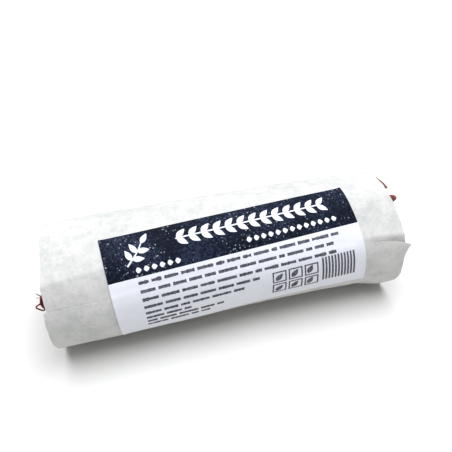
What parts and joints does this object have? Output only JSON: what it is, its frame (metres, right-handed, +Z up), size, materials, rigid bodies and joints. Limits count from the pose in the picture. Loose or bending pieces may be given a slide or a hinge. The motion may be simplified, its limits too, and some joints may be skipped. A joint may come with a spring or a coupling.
{
  "type": "herb bundle",
  "caption": "Dried sage sprigs bound with thread and rolled in a sheet of thin paper, held shut by a plain label wrapped over the free edge; it lies on its side.",
  "frame": {"origin": "middle of the underside of the whole object's box, on the surface that the roll lies on", "axes": "+X along the roll from the cut stems to the leaf tips, -Y towards the side with the label and the free edge, +Z up"},
  "size_m": [0.1054, 0.036, 0.035],
  "materials": {
    "paper": "thin uncoated white tissue-like paper, matte, faintly mottled where the leaves show through",
    "label": "coated white label paper with a dark blue-black printed band, low sheen",
    "sage": "dried leaves and woody stems stained dark red by a resin coat, grey-green where it is missing, matte and downy",
    "thread": "twisted cotton thread, dark red, matte"
  },
  "bodies": {
    "root": {"paper_wrapper": "paper", "paper_label": "label", "sage_sprig_1": "sage", "sage_sprig_2": "sage", "sage_sprig_3": "sage", "sage_sprig_4": "sage", "sage_sprig_5": "sage", "sage_sprig_6": "sage", "sage_sprig_7": "sage", "binding_thread": "thread"}
  },
  "joints": []
}
